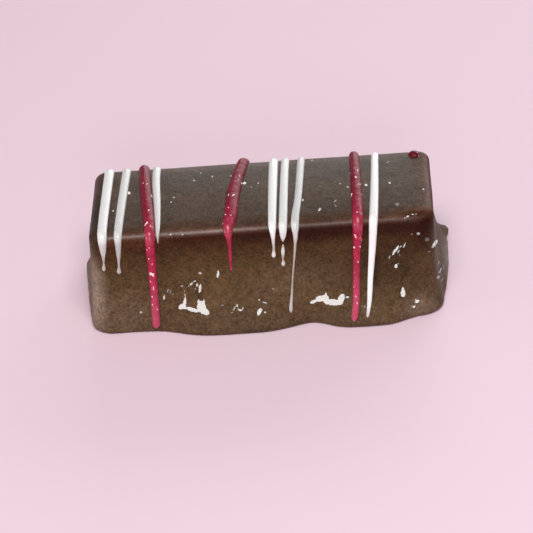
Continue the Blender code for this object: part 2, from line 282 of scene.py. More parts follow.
BROKEN_RING = mark_rows(
    (182.2, 306.4, 4.6, 2.7, -32), (185, 300.4, 1.5, 5.4, 6, 1, 0.8), (184, 307, 2.6, 2.4, 0, 1, 0.4),
    (192.3, 309.6, 7.4, 2.1, 17), (201.4, 306.6, 4.6, 6.2, -8, 1, 0.3), (204.6, 311.6, 5, 3.4, 22),
    (198.7, 301.8, 1.3, 3.2, 0, 1, 0.6), (203.6, 302.2, 1.4, 3.4, 8, 1, 0.6),
    (185.1, 295, 0.7, 2.4, 8, 0.9), (182, 286, 1.7, 0.8, 20, 0.8), (184.5, 290.9, 0.9, 0.7, 0, 0.7),
    (191.2, 284, 2.4, 1, -42, 0.9), (188.8, 286, 0.8, 0.8, 0, 0.8), (194.4, 281.2, 1.9, 0.9, -30, 0.9),
    (197, 285, 1.2, 1.9, 10), (195.4, 288.6, 0.7, 0.9, 0, 0.7), (200, 288.3, 1.4, 5.4, 6, 1, 0.3),
    (200, 273.2, 1.9, 1.2, 0, 0.8),
)
LEFT_CHIPS = mark_rows(
    (164.2, 297.4, 1, 3.2, 5, 0.9), (167.6, 290.8, 0.8, 2.6, 12, 0.6), (170.4, 292, 0.8, 2.8, 14, 0.5),
    (173, 294, 0.7, 1.6, 10, 0.5), (218, 273.8, 1.2, 4.9, 7, 1, 0.2), (141, 312.5, 1.6, 1.3, 20, 0.8),
)
MIDDLE_CHIPS = mark_rows(
    (222.4, 305.4, 2.4, 0.7, -15, 0.5), (237.2, 305.8, 1.2, 1.7, 10, 0.9), (240.2, 310.2, 2.3, 1, 20),
    (242.8, 308.6, 0.8, 2.4, 15, 0.9), (234.4, 308.2, 0.8, 3.6, 28, 0.8),
    (231.8, 312.5, 1.5, 0.7, -10, 0.7), (238.2, 308.8, 0.8, 1.2, 0, 0.8),
    (259.4, 311.9, 2.2, 4.2, 25, 1, -0.3), (265, 312.4, 1.1, 1.1, 0, 0.9),
    (264.7, 302.7, 3.5, 0.8, 12, 0.9), (259.4, 299.7, 1.1, 1.2, 0, 0.8), (273, 289, 1, 1, 0, 0.6),
)
SMEAR = mark_rows(
    (313.6, 301.6, 4.4, 1.9, -22), (320.4, 298.6, 5.4, 3.2, -12), (325, 298, 4.4, 3.4, 10),
    (326.1, 294.2, 1, 2.4, 0, 1, 0.5), (333.3, 302.2, 10.4, 3.3, 4), (341.4, 298.6, 3.2, 5.2, 22),
    (347.3, 297.1, 2, 1.1, -10, 0.9), (362.2, 306, 0.8, 0.8, 0, 0.5), (364.7, 306.7, 0.9, 1.8, 0, 0.6),
)
SCRATCHES = mark_rows(
    (394.9, 250.9, 1.2, 5.9, 32), (397.2, 248.6, 1, 4.6, 26), (398.4, 251.6, 0.8, 3.2, 24, 0.9),
    (393.4, 252.6, 0.8, 2.6, 20, 0.9), (400.4, 246.8, 0.8, 2.6, 32, 0.8), (389.7, 257.2, 0.7, 3.4, 32, 0.8),
    (404.3, 245.2, 1, 3.8, 26, 0.9, 0.3), (399.8, 254.8, 1.1, 0.7, 0, 0.7), (396, 266, 1.5, 2.3, 15),
    (398.2, 263.9, 0.8, 0.7, 0, 0.9), (435, 243.4, 1.8, 4.8, 32), (433, 246.4, 1, 2.6, 30, 0.8),
)
RIGHT_CHIPS = mark_rows(
    (403, 292, 2.3, 5.6, 0, 1, 0.5), (417.2, 301.4, 2.5, 1.7, -25), (415.6, 299.9, 1.2, 0.8, 0, 0.9),
    (422, 301.4, 1.2, 0.9, 0, 0.5), (413.8, 306.7, 2, 1.2, -25), (411.8, 305.6, 0.8, 0.7, 0, 0.7),
    (427.2, 239.5, 2.4, 2, 0, 0.2), (429.1, 251.6, 1.6, 1, 0, 0.3), (418.3, 233.7, 2, 1.5, 0, 0.8),
    (411.9, 234.4, 1.2, 1, 0, 0.4),
)
SKIRT_STREAKS = mark_rows(
    (438.6, 263, 0.9, 3.4, 14, 0.7), (440.4, 270.4, 1, 4, 20, 0.8), (443.4, 268, 0.7, 5, 4, 0.6),
    (438.2, 277, 1.1, 2.2, 34, 0.8), (442, 279.6, 0.8, 3.4, 16, 0.6),
)
FRONT_MARKS = BROKEN_RING + LEFT_CHIPS + MIDDLE_CHIPS + SMEAR + SCRATCHES + RIGHT_CHIPS + SKIRT_STREAKS
BUBBLES = mark_rows(
    (129, 192.8, 1.7, 1.5), (113.3, 210.8, 1.4, 1.1, 0, 0.7), (174, 197.4, 1.6, 0.8, 0, 0.7),
    (171, 202, 1.2, 0.8, 0, 0.7), (194, 180.6, 1, 0.9, 0, 0.8), (212, 176.5, 1.1, 1, 0, 0.8),
    (200.8, 173.2, 1.3, 0.8, 0, 0.5), (244.3, 183.1, 1.9, 1.4, 0, 0.9), (258.4, 183.1, 1, 0.9, 0, 0.8),
    (302.8, 200, 1.4, 1.5, 0, 0.7), (311.9, 160.3, 1.2, 1.1, 0, 0.6), (366, 185, 1.5, 1.4),
    (347.8, 186.9, 1.2, 1.1, 0, 0.6), (340, 183.5, 1.1, 1, 0, 0.6), (389.6, 182.7, 1.4, 1.3, 0, 0.8),
    (397, 204.1, 2.4, 1.8, 0, 0.3), (231, 176, 1, 0.8, 0, 0.6), (251, 187, 0.9, 0.8, 0, 0.6),
)
NICKS = mark_rows(
    (142.7, 201.2, 0.9, 2.4, 40, 0.9), (319.5, 209.5, 1.4, 2.2, 30, 0.7), (335, 201, 2.6, 0.7, -40, 0.6),
    (424, 189.5, 0.8, 2.5, -40, 0.9), (388, 162, 3.2, 0.7, -20, 0.5), (170.7, 234.5, 1, 0.8, 0, 0.8),
    (182.5, 234.9, 1, 0.8, 0, 0.8), (408, 216.4, 1.8, 0.9, -25, 0.9), (412.5, 214.4, 1.7, 0.8, 0, 0.9),
    (416, 214, 1, 0.8, 0, 0.7), (405, 218, 1, 0.8, 0, 0.7), (335.6, 205.6, 2.2, 0.6, 45, 0.5),
)
TOP_MARKS = BUBBLES + NICKS
MARK_EDGE = 0.5  # pixels over which a mark fades out
MARK_RIM = (0.25, 0.55)  # the shares of a mark between which its finish takes over
MARK_WARP = 0.5  # pixels by which its outline strays
MARK_LUMP = 2.5  # the size of the outline's waves, in pixels
STRAY_SHIFT = Vector((37.0, 11.5, 0.0))  # how far apart the waves across and down are read
SKIRT_HEIGHT = 6.0 * MM  # below this the right end leans out far enough to be seen from the front
MARK_CUTS = 3  # cuts across each face of the coat that a mark touches
CUT_MARGIN = 4 * MARK_WARP  # how far outside a mark the coat is still cut finer
STRAY_MARGIN = 8 * MARK_WARP  # how far outside it the outline's waves are worked out
WIDENING_LIMITS = (0.1, 2.0)  # the least and the most that a mark's width is multiplied by
SIDEWAYS = 0.05  # walls that face less than this to the front or back belong to an end
LEFT_END = -0.95  # walls that face further to the left than this are the left end
OUT_OF_SIGHT = 100.0  # what the points turned away from the photograph's view are given instead of 0


class Tint(NamedTuple):
    """A patch of painted colour on the coat, as an ellipsoid in millimetres: most are painted light,
    reflection or shade.
    """

    middle: tuple
    reach: tuple
    strength: float
    colour: tuple


# Pale: painted sheen on the left front corner and the left end's foot, and painted light on the front's
# middle, its lower left and its right foot.
PAINTED_LIGHT = (0.31, 0.232, 0.170)
# Pale grey: a painted reflection on the rim of the right end's foot.
PAINTED_REFLECTION = (0.40, 0.355, 0.32)
DULL = (0.20, 0.150, 0.120)
# Dark: painted shade on the top's left strip, inside a mark on the front, down the right of the front,
# between the right lines and on the right end.
PAINTED_SHADE = (0.030, 0.013, 0.005)
# Red-dark: painted shade in the band under the top front edge, deepest towards the right.
PAINTED_EDGE_SHADE = (0.022, 0.003, 0.001)
# Rust-brown: a painted warm glow on the rounded top front edge near both ends, where the top's painted sheen
# is left out.
PAINTED_EDGE_GLOW = (0.110, 0.038, 0.017)
PAINTED_PATCHES = (
    Tint((20.5, -6.6, 14.3), (7.0, 2.4, 1.6), 0.8, PAINTED_EDGE_GLOW),
    Tint((-18.0, -8.5, 12.8), (9.0, 3.0, 1.6), 0.5, PAINTED_EDGE_GLOW),
    Tint((7.0, -8.5, 12.6), (15.0, 3.0, 1.9), 0.75, PAINTED_EDGE_SHADE),
    Tint((20.2, -9.0, 12.0), (8.0, 3.6, 4.4), 1.0, PAINTED_EDGE_SHADE),
    Tint((-21.2, -1.0, 13.4), (2.8, 14.0, 4.0), 1.0, PAINTED_SHADE),
    Tint((-8.7, -8.5, 5.4), (0.9, 1.4, 1.0), 0.6, PAINTED_SHADE),
    Tint((13.5, -9.0, 8.0), (11.5, 3.0, 6.5), 0.6, PAINTED_SHADE),
    Tint((21.3, -7.0, 7.0), (1.3, 4.0, 7.0), 0.7, PAINTED_SHADE),
    Tint((12.6, -8.8, 8.5), (1.3, 2.2, 6.0), 0.8, PAINTED_SHADE),
    Tint((-22.4, -7.2, 5.5), (3.1, 4.0, 9.0), 0.9, PAINTED_LIGHT),
    Tint((-23.2, 0.0, 1.5), (1.9, 11.0, 5.0), 0.5, PAINTED_LIGHT),
    Tint((-18.5, -9.0, 3.0), (6.0, 3.0, 4.0), 0.12, PAINTED_LIGHT),
    Tint((3.0, -9.5, 6.5), (9.0, 3.0, 4.0), 0.08, PAINTED_LIGHT),
    Tint((19.5, -9.6, 1.4), (6.0, 3.0, 2.8), 0.3, PAINTED_LIGHT),
    Tint((23.2, 0.5, 2.2), (1.7, 10.0, 5.0), 0.8, PAINTED_REFLECTION),
    Tint((-20.8, 8.0, 6.0), (2.4, 2.6, 6.5), 0.5, DULL),
    Tint((20.8, 8.4, 6.0), (2.2, 2.6, 6.5), 0.5, DULL),
)

# The coat's colour by the distance down from its top edge, in millimetres: over the top it is negative
# The ramp paints light and shade: the grey over the top is partly bloom and partly painted sheen, the pale
# stop on the edge is a painted highlight, the dark stop just under it is painted shade, and the wall grows
# paler towards the foot as painted light.
COAT_COLOURS = (
    (-8.0, (0.080, 0.051, 0.035)),
    (-3.2, (0.074, 0.049, 0.035)),
    (-1.3, (0.074, 0.036, 0.020)),
    # painted highlight along the top front edge
    (-0.35, (0.120, 0.052, 0.034)),
    # painted shade under the top front edge
    (0.6, (0.034, 0.007, 0.002)),
    (3.0, (0.062, 0.030, 0.011)),
    (6.0, (0.088, 0.049, 0.021)),
    (9.5, (0.100, 0.058, 0.027)),
    (12.0, (0.098, 0.057, 0.029)),
    (14.5, (0.088, 0.050, 0.027)),
)

COLOUR_STRAY = 0.02  # how far the clouds and the mottle shift the colours, in shares of their run
TINT_STRAY = 0.5
TINT_FADE = 0.8
CLOUD_SIZE = 5 * MM
MOTTLE_SIZE = 0.9 * MM
GRAIN_SIZE = 0.3 * MM
CLOUD_SHADE = 0.5
MOTTLE_SHADE = 1.2
GRAIN_SHADE = 2.3
# Where marks are, the base colour is paled a little towards this as a painted highlight, on top of their
# gloss.
MARK_HIGHLIGHT_COLOUR = (0.5, 0.42, 0.42)
MARK_HIGHLIGHT_SHARE = 0.06

# The coat's gloss. The pairs are where it starts and ends: millimetres down from the edge, or metres along
WALL_ROUGHNESS = 0.48
TOP_END = (-1.5, 0.5)
TOP_SMOOTHNESS = 0.14
CLOUD_SMOOTHNESS = 0.1
LEFT_RIM = (-21.0 * MM, -19.0 * MM)
RIM_DULLNESS = 0.5
MARK_ROUGHNESS = 0.7  # of the weakest mark
MARK_SMOOTHNESS = 0.54
ARRIS_RISE = (-1.4, -0.5)
ARRIS_FALL = (-0.2, 0.3)
ARRIS_GLOSS = 0.95
ARRIS_MIDDLE = (-6.0 * MM, 6.0 * MM)
ARRIS_MIDDLE_LOSS = 0.5
ARRIS_RIGHT = (8.0 * MM, 13.0 * MM)
ARRIS_RIGHT_LOSS = 0.2
ARRIS_END = (15.5 * MM, 18.5 * MM)
ARRIS_END_LOSS = 0.9
ARRIS_CLOUDING = 1.2
COAT_BUMP = 0.05 * MM
WRINKLE_SIZE = 0.6 * MM
WRINKLE = 0.06
SATIN_SPECULAR = 0.09
MARK_SPECULAR = 1.0

WHITE_SHADES = {
    "white_line_1": 0.84,
    "white_line_2": 0.71,
    "white_line_3": 0.76,
    "white_line_4": 0.89,
    "white_line_5": 0.77,
    "white_drip": 0.80,
    "white_line_6": 0.64,
    "white_line_7": 0.95,
}
WHITE = (1.0, 1.0, 0.98)
THIN_WHITE = (0.42, 0.36, 0.31)  # where the chocolate shows through
THIN_WIDTHS = (0.15 * MM, 0.65 * MM)
# The white is darkened down the front towards the left as painted shade.
PAINTED_FRONT_SHADE = 0.35  # how much darker the white is down the front, at the left
PAINTED_SHADE_FROM = (-1.0, 1.5)
PAINTED_SHADE_FADE_ALONG = (-20.0 * MM, 8.0 * MM)


class Raspberry(NamedTuple):
    """One raspberry finish: its colours on top, below the edge and low down, and its glints.

    The glints begin between two places, which are distances over the edge in millimetres.
    """

    colours: tuple
    glint_share: float
    glints_from: tuple


# The first colour, darker on top, is painted shade; the last is paler low down the front.
RASPBERRY = Raspberry(
    ((0.215, 0.006, 0.025), (0.390, 0.016, 0.055), (0.490, 0.062, 0.120)),
    0.015,
    (-12.5, -11.0),
)
DARK_RASPBERRY = Raspberry(((0.120, 0.003, 0.010),) * 3, 0.10, (-15.5, -14.5))
RASPBERRY_EDGE = (-7.0, 1.0)  # where the first colour turns into the second, in millimetres over the edge
RASPBERRY_DRIP = (4.0, 12.0)
RASPBERRY_LUMP = 0.7 * MM
RASPBERRY_WAVE = 2.0 * MM
RASPBERRY_BUMP = 0.2 * MM
RIDGE_RISE = (-1.8, -0.6)  # where the gloss on the lines' bend starts and ends
RIDGE_FALL = (0.3, 1.4)
GLINT_LEVELS = (0.70, 0.73)  # the noise between which a glint takes over, for a share of 0
GLINT_SIZE = 0.4 * MM
GLINT_STRETCH = (1.0, 0.5, 0.5)
GLINT_TURN = (-1.0, 1.0)  # where the glints stop facing the key lamp and face the front one


def clamp(value, low, high):
    return np.minimum(np.maximum(value, low), high)


def mix(first, second, share):
    return first + (second - first) * share


def ease(share):
    """0 to 1 with level ends."""
    share = clamp(share, 0.0, 1.0)
    return share * share * (3 - 2 * share)


def pooled(least, pools, along):
    """The foot's reach at these places along the finger."""
    return least + sum(p.reach * np.exp(-(((along - p.centre) / p.spread) ** 4)) for p in pools)


def steady_curve(points, at):
    """The smooth curve through (place, value) points, at an array of places. It never overshoots a point."""
    places, values = (np.array(column, float) for column in zip(*points))
    widths = np.diff(places)
    rises = np.diff(values) / widths
    mean = (rises[:-1] * widths[1:] + rises[1:] * widths[:-1]) / (widths[:-1] + widths[1:])
    least = np.minimum(np.minimum(abs(rises[:-1]), abs(rises[1:])), abs(mean) / 2)
    inner = (np.sign(rises[:-1]) + np.sign(rises[1:])) * least
    slopes = np.concatenate([rises[:1], inner, rises[-1:]])
    at = clamp(np.asarray(at, float), places[0], places[-1])
    i = clamp(np.searchsorted(places, at) - 1, 0, len(widths) - 1)
    t = (at - places[i]) / widths[i]
    return (
        values[i] * (1 + 2 * t) * (1 - t) ** 2
        + slopes[i] * widths[i] * t * (1 - t) ** 2
        + values[i + 1] * t * t * (3 - 2 * t)
        + slopes[i + 1] * widths[i] * t * t * (t - 1)
    )


class Side(NamedTuple):
    """What the coat does at places of the outline. Each value is an array, one number for a place."""

    edge: np.ndarray
    top: np.ndarray
    foot: np.ndarray
    flare: np.ndarray
    inset: np.ndarray


def top_height(along):
    return mix(LEFT_HEIGHT, RIGHT_HEIGHT, along / LENGTH + 0.5)


def front_side(along):
    soft = ease((along - SOFT_EDGE_START) / (HALF_LENGTH - SOFT_EDGE_START))
    edge = mix(EDGE_RADIUS, SOFT_EDGE_RADIUS, soft)
    foot = pooled(FRONT_FOOT, FRONT_POOLS, along)
    return whole_side(edge, along, foot, FRONT_FLARE, SIDE_INSET)


def back_side(along):
    foot = pooled(BACK_FOOT, BACK_POOLS, along)
    return whole_side(EDGE_RADIUS, along, foot, FRONT_FLARE, SIDE_INSET)


def end_side(along, across):
    reach = RIGHT_FOOT if along[0] > 0 else LEFT_FOOT
    foot = steady_curve(list(zip((-HALF_WIDTH, 0.0, HALF_WIDTH), reach)), across)
    return whole_side(EDGE_RADIUS, along, foot, END_FLARE, END_INSET)


def whole_side(edge, along, foot, flare, inset):
    """A Side at these places, where a plain number is the same at all of them."""
    even = 0 * along
    return Side(edge + even, top_height(along), foot, flare + even, inset + even)


def rim_lean(side):
    """The angle above level that the wall's face points at where it meets the rim."""
    return np.arctan(side.flare * side.foot / side.top)


def rim_start(side):
    """The height where the wall meets the rim."""
    return RIM_RADIUS * (1 + np.sin(rim_lean(side)))


def coat(side, v):
    """(outward, up) of the coat's section: v is 1 past the top edge, 2 down the wall and 3 round the rim."""
    v = v + 0 * side.edge
    lean = rim_lean(side)
    radius = arris_radius(side)
    turn = clamp(v, 0.0, 1.0) * math.pi / 2
    edge_out = radius * (np.sin(turn) - 1) - side.inset
    edge_up = radius * (np.cos(turn) - 1) - SHOULDER_DROP
    down = clamp(v - 1, 0.0, 1.0)
    rim_turn = mix(lean, -math.pi / 2, clamp(v - 2, 0.0, 1.0))
    reach = side.foot - RIM_RADIUS * (1 - np.cos(lean))
    wall_top = edge_end(side)
    wall_out = reach * down**side.flare - side.inset * (1 - down) ** WALL_INSET_POWER
    out = np.where(v <= 1, edge_out, wall_out)
    up = np.where(v <= 1, side.top + edge_up, mix(wall_top, rim_start(side), down))
    out = np.where(v <= 2, out, side.foot - RIM_RADIUS * (1 - np.cos(rim_turn)))
    up = np.where(v <= 2, up, RIM_RADIUS * (1 + np.sin(rim_turn)))
    return out, up


def arris_radius(side):
    return side.edge + EXTRA_RADIUS


def edge_start(side):
    """How far inside the block's edge the finished edge starts."""
    return side.inset + arris_radius(side)


def edge_end(side):
    """The height where the top edge's section meets the wall."""
    return side.top - arris_radius(side) - SHOULDER_DROP


def section_place(side, over):
    """v of coat() at a distance over the top edge."""
    wall = side.top - rim_start(side)
    rim_length = RIM_RADIUS * (rim_lean(side) + math.pi / 2)
    on_edge = (over + edge_start(side)) / (side.edge + edge_start(side))
    on_wall = 1 + (over - side.edge) / (wall - side.edge)
    on_rim = clamp(2 + (over - wall) / rim_length, 2.0, 3.0)
    return np.where(over <= side.edge, on_edge, np.where(over <= wall, on_wall, on_rim))


def distance_over(side, v):
    """The distance over the top edge at v of coat()."""
    wall = side.top - rim_start(side)
    rim_length = RIM_RADIUS * (rim_lean(side) + math.pi / 2)
    on_edge = mix(-edge_start(side), side.edge, v)
    on_wall = mix(side.edge, wall, v - 1)
    return np.where(v <= 1, on_edge, np.where(v <= 2, on_wall, wall + (v - 2) * rim_length))


def crown(along, across):
    """How far the slightly domed top stands above its edge. Close to the edge it falls more."""
    edge = np.where(across < 0, front_side(along).edge, EDGE_RADIUS)
    side_rim = HALF_WIDTH - SIDE_INSET - EXTRA_RADIUS - edge
    end_rim = HALF_LENGTH - END_INSET - EXTRA_RADIUS - EDGE_RADIUS
    across, along = abs(across), abs(along)
    near_side = clamp(1 - (side_rim - across) / SHOULDER, 0.0, 1.0) ** 2
    near_end = clamp(1 - (end_rim - along) / SHOULDER, 0.0, 1.0) ** 2
    shoulder = SHOULDER_DROP * (1 - (1 - near_side) * (1 - near_end))
    u, w = clamp(across / side_rim, 0.0, 1.0), clamp(along / end_rim, 0.0, 1.0)
    return CROWN * (1 - u * u) * (1 - w**CROWN_END_POWER) - shoulder


def skewed(along, across, up):
    return np.stack([along + SKEW * across / WIDTH, across, up], -1)


def belt(along, over):
    """Points of the coat at distances over the front edge: down the front, or over the top and the back."""
    along, over = np.broadcast_arrays(np.asarray(along, float), np.asarray(over, float))
    at_front = over >= -WIDTH / 2
    facing = np.where(at_front, -1.0, 1.0)
    past = np.where(at_front, over, -WIDTH - over)
    side = Side(*(np.where(at_front, f, b) for f, b in zip(front_side(along), back_side(along))))
    out, up = coat(side, section_place(side, past))
    flat = past < -edge_start(side)
    across = facing * (HALF_WIDTH + np.where(flat, past, out))
    up = np.where(flat, side.top + crown(along, across), up)
    return skewed(along, across, up)


class Corner(NamedTuple):
    """A corner of the block, by the signs of its place."""

    x: int
    y: int
    radius: float

    def end(self, facing):
        """Where the straight side that faces this way meets the corner's arc."""
        return self.centre() + np.array(facing) * self.radius

    def centre(self):
        return np.array([self.x * (HALF_LENGTH - self.radius), self.y * (HALF_WIDTH - self.radius)])


CORNERS = (
    Corner(1, -1, FRONT_CORNER_RADIUS),
    Corner(1, 1, BACK_CORNER_RADIUS),
    Corner(-1, 1, BACK_CORNER_RADIUS),
    Corner(-1, -1, FRONT_CORNER_RADIUS),
)
FACINGS = ((0, -1), (1, 0), (0, 1), (-1, 0))


def side_at(facing, points):
    along, across = points[:, 0], points[:, 1]
    if facing[0]:
        return end_side(along, across)
    return front_side(along) if facing[1] < 0 else back_side(along)


def corner_run(corner, facing, next_facing):
    """Stations strictly inside one corner's arc, where one side's coat turns into the next one's."""
    before = side_at(facing, corner.end(facing)[None])
    after = side_at(next_facing, corner.end(next_facing)[None])
    share = np.arange(1, CORNER_STEPS) / CORNER_STEPS
    turn = share * math.pi / 2
    normals = np.outer(np.cos(turn), facing) + np.outer(np.sin(turn), next_facing)
    side = Side(*(mix(a[0], b[0], ease(share)) for a, b in zip(before, after)))
    if (corner.x, corner.y) == (1, 1):
        tip = np.sin(2 * turn) ** CORNER_POINT_SHARPNESS
        flare = mix(side.flare, CORNER_POINT_FLARE, tip)
        side = side._replace(foot=side.foot + CORNER_POINT * tip, flare=flare)
    return corner.centre() + normals * corner.radius, normals, side


def straight_steps(facing):
    """How many cells the straight side that faces this way is cut into: the opposite one gets as many."""
    length = WIDTH if facing[0] else LENGTH
    return round((length - FRONT_CORNER_RADIUS - BACK_CORNER_RADIUS) / CELL)


def outline():
    """(points, normals, side) of the stations round the block, anticlockwise from the front left corner."""
    runs = []
    for i, facing in enumerate(FACINGS):
        steps = straight_steps(facing)
        share = np.linspace(0, 1, steps + 1)[:, None]
        points = mix(CORNERS[i - 1].end(facing), CORNERS[i].end(facing), share)
        normals = np.tile(np.array(facing, float), (steps + 1, 1))
        runs.append((points, normals, side_at(facing, points)))
        runs.append(corner_run(CORNERS[i], facing, FACINGS[(i + 1) % 4]))
    points = np.concatenate([r[0] for r in runs])
    normals = np.concatenate([r[1] for r in runs])
    side = Side(*(np.concatenate(columns) for columns in zip(*(r[2] for r in runs))))
    half = CORNER_STEPS // 2
    return np.roll(points, half, 0), np.roll(normals, half, 0), Side(*(np.roll(s, half) for s in side))


def coat_rows():
    """v of coat() for each ring of the body, from the top edge to the flat base."""
    walls = round((LEFT_HEIGHT - EDGE_RADIUS - RIM_RADIUS) / CELL)
    return np.concatenate([
        np.arange(EDGE_STEPS) / EDGE_STEPS,
        1 + np.arange(walls) / walls,
        2 + np.arange(RIM_STEPS + 1) / RIM_STEPS,
    ])


def coat_rings():
    """The rings' points, and how far over the edge each one is."""
    points, normals, side = outline()
    rings, overs = [], []
    for v in coat_rows():
        out, up = coat(side, v)
        place = points + normals * out[:, None]
        rings.append(skewed(place[:, 0], place[:, 1], up))
        overs.append(distance_over(side, v))
    return np.array(rings), np.array(overs)


def top_grid(rim):
    """The top as rows of points from front to back: a patch stretched between the rim's four sides."""
    along = straight_steps((0, -1)) + CORNER_STEPS
    across = straight_steps((1, 0)) + CORNER_STEPS
    front = rim[: along + 1]
    right = rim[along : along + across + 1]
    back = rim[along + across : 2 * along + across + 1][::-1]
    left = np.concatenate([rim[2 * along + across :], rim[:1]])[::-1]
    s = np.linspace(0, 1, along + 1)[None, :, None]
    t = np.linspace(0, 1, across + 1)[:, None, None]
    grid = mix(front[None], back[None], t) + mix(left[:, None], right[:, None], s)
    grid -= mix(mix(front[0], front[-1], s), mix(back[0], back[-1], s), t)
    inner = grid[1:-1, 1:-1]
    place = inner[..., 0] - SKEW * inner[..., 1] / WIDTH
    inner[..., 2] = top_height(place) + crown(place, inner[..., 1])
    return grid


def new_mesh_object(name, points, faces):
    data = bpy.data.meshes.new(name)
    data.from_pydata(points, [], faces)
    data.shade_smooth()
    made = bpy.data.objects.new(name, data)
    bpy.context.scene.collection.objects.link(made)
    return made


def store(piece, name, kind, values):
    """Gives each point of a piece's mesh a number, or a vector, under this name."""
    attribute = piece.data.attributes.new(name, kind, "POINT")
    field = "vector" if kind == "FLOAT_VECTOR" else "value"
    attribute.data.foreach_set(field, np.asarray(values, np.float32).reshape(-1))


def make_body():
    """The coat as one closed mesh in block coordinates.

    Each point holds how far down from the top edge it is, in millimetres, and its place in the photograph.
    """
    rings, overs = coat_rings()
    rows, stations = rings.shape[:2]
    grid = top_grid(rings[0])
    points = np.concatenate([rings.reshape(-1, 3), grid[1:-1, 1:-1].reshape(-1, 3)])
    ring_index = np.arange(rows * stations).reshape(rows, stations)
    grid_index = np.empty(grid.shape[:2], int)
    across, along = grid.shape[0] - 1, grid.shape[1] - 1
    grid_index[0] = np.arange(along + 1)
    grid_index[:, -1] = along + np.arange(across + 1)
    grid_index[-1] = (along + across + np.arange(along + 1))[::-1]
    grid_index[:, 0] = ((2 * along + across + np.arange(across + 1)) % stations)[::-1]
    inner = (across - 1, along - 1)
    grid_index[1:-1, 1:-1] = rows * stations + np.arange(math.prod(inner)).reshape(inner)
    upper, lower = ring_index[:-1], ring_index[1:]
    walls = np.stack([np.roll(upper, 1, 1), np.roll(lower, 1, 1), lower, upper], -1).reshape(-1, 4)
    g = grid_index
    tops = np.stack([g[:-1, :-1], g[:-1, 1:], g[1:, 1:], g[1:, :-1]], -1).reshape(-1, 4)
    base = [int(i) for i in ring_index[-1][::-1]]
    faces = [*walls.tolist(), *tops.tolist(), base]
    body = new_mesh_object("chocolate_coat", points.tolist(), faces)
    x, y = grid[1:-1, 1:-1, 0].reshape(-1), grid[1:-1, 1:-1, 1].reshape(-1)
    inset = np.minimum(HALF_WIDTH - abs(y), HALF_LENGTH - abs(x - SKEW * y / WIDTH))
    store(body, "down", "FLOAT", np.concatenate([overs.reshape(-1), -inset]) / MM)
    facing_x, facing_y = outline()[1].T
    high = rings[:, :, 2] > SKIRT_HEIGHT
    turned_away = (facing_y > SIDEWAYS) | (facing_x < LEFT_END) | ((facing_y > -SIDEWAYS) & high)
    turned_away[0] = False
    away = np.concatenate([turned_away.reshape(-1), np.zeros(len(x))])
    store(body, "photo", "FLOAT_VECTOR", np.column_stack([in_photo(points), away * OUT_OF_SIGHT]))
    make_marks(body)
    return body


def reached(marks, places, margin=0.0):
    """How far inside each mark each place is, in shares of its half size: one column for each mark."""
    columns = []
    for mark in marks:
        turn = math.radians(mark.turn)
        x, y = places[:, 0] - mark.across, places[:, 1] - mark.down
        u = (x * math.cos(turn) + y * math.sin(turn)) / (mark.half_across + margin)
        w = (y * math.cos(turn) - x * math.sin(turn)) / (mark.half_down + margin)
        u = u / clamp(1 + mark.widening * w, *WIDENING_LIMITS)
        columns.append(1 - np.sqrt(u * u + w * w + places[:, 2] ** 2))
    return np.stack(columns, -1)


def make_marks(body):
    """Cuts the coat finer where marks touch it, and gives each point its share of them and their strength."""
    bm = bmesh.new()
    bm.from_mesh(body.data)
    layer = bm.verts.layers.float_vector["photo"]
    bm.faces.ensure_lookup_table()
    middles = np.array([sum((v[layer] for v in f.verts), Vector()) / len(f.verts) for f in bm.faces])
    near = reached(FRONT_MARKS + TOP_MARKS, middles, margin=CUT_MARGIN).max(1) > 0
    edges = {edge for i in np.flatnonzero(near) for edge in bm.faces[i].edges}
    edges = sorted(edges, key=lambda edge: edge.index)
    bmesh.ops.subdivide_edges(bm, edges=edges, cuts=MARK_CUTS, use_grid_fill=True)
    bm.to_mesh(body.data)
    bm.free()
    body.data.shade_smooth()
    places = np.empty(len(body.data.vertices) * 3, np.float32)
    body.data.attributes["photo"].data.foreach_get("vector", places)
    places = places.reshape(-1, 3).astype(float)
    total, strength = np.zeros(len(places)), np.zeros(len(places))
    for name, marks in (("front_mark", FRONT_MARKS), ("top_mark", TOP_MARKS)):
        cover = np.zeros(len(places))
        close = np.flatnonzero(reached(marks, places, margin=STRAY_MARGIN).max(1) > 0)
        lumps = [Vector(places[i]) / MARK_LUMP for i in close]
        strays = np.array([(noise.noise(lump), noise.noise(lump + STRAY_SHIFT), 0.0) for lump in lumps])
        strayed = places[close] + strays * MARK_WARP
        sharpness = np.array([min(m.half_across, m.half_down) for m in marks]) / MARK_EDGE
        inside = reached(marks, strayed)
        cover[close] = clamp(inside * sharpness, 0.0, 1.0).max(1)
        strength[close] = np.array([m.strength for m in marks])[inside.argmax(1)]
        store(body, name, "FLOAT", cover)
        total = total + cover
    store(body, "mark", "FLOAT", total)
    store(body, "mark_strength", "FLOAT", strength)


def place_shift(body):
    """From block coordinates to the frame's: both bodies' boxes have the same middle."""
    low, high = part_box("chocolate_body")
    points = np.array([v.co for v in body.data.vertices])
    middle = (points.min(0) + points.max(0)) / 2
    return Vector(((low.x + high.x) / 2 - middle[0], (low.y + high.y) / 2 - middle[1], 0.0))


